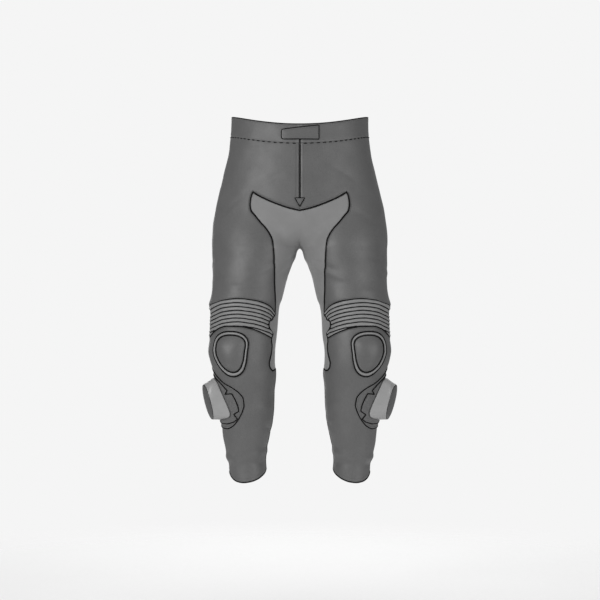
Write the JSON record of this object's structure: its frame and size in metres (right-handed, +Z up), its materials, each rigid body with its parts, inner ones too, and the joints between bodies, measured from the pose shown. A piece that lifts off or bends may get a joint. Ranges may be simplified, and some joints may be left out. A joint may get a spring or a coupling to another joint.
{
  "type": "motorcycle trousers",
  "caption": "Leather motorcycle trousers with a stretch gusset, ribbed stretch panels above domed knee cups, and a knee slider on the outside of each shin.",
  "frame": {"origin": "centre of the waist, where the wearer holds the trousers up", "axes": "+Z up, from the hems to the waist; the front faces -Y; the wearer's left leg is at +X"},
  "size_m": [0.5162, 0.2819, 0.9636],
  "materials": {
    "leather": "matt grain",
    "ribs": "soft matt leather over elastic",
    "stretch": "woven stretch cloth",
    "patch": "loop pile",
    "slider": "moulded, satin",
    "slider_face": "smooth, satin",
    "zip": "woven tape and chain"
  },
  "bodies": {
    "root": {"back_calf_left": "leather", "back_calf_right": "leather", "back_thigh_left": "leather", "back_thigh_right": "leather", "fly_patch": "leather", "fly_zip": "zip", "front_shin_left": "leather", "front_shin_right": "leather", "front_thigh_left": "leather", "front_thigh_right": "leather", "gusset_back": "stretch", "gusset_front": "stretch", "knee_cup_left": "leather", "knee_cup_right": "leather", "knee_ribs_left": "ribs", "knee_ribs_right": "ribs", "knee_ring_left": "ribs", "knee_ring_right": "ribs", "knee_slider_left": "slider", "knee_slider_right": "slider", "loop_patch_left": "patch", "loop_patch_right": "patch", "slider_face_left": "slider_face", "slider_face_right": "slider_face", "slider_panel_left": "leather", "slider_panel_right": "leather", "waist_tab": "leather", "waistband": "leather", "zip_slider": "zip"}
  },
  "joints": []
}
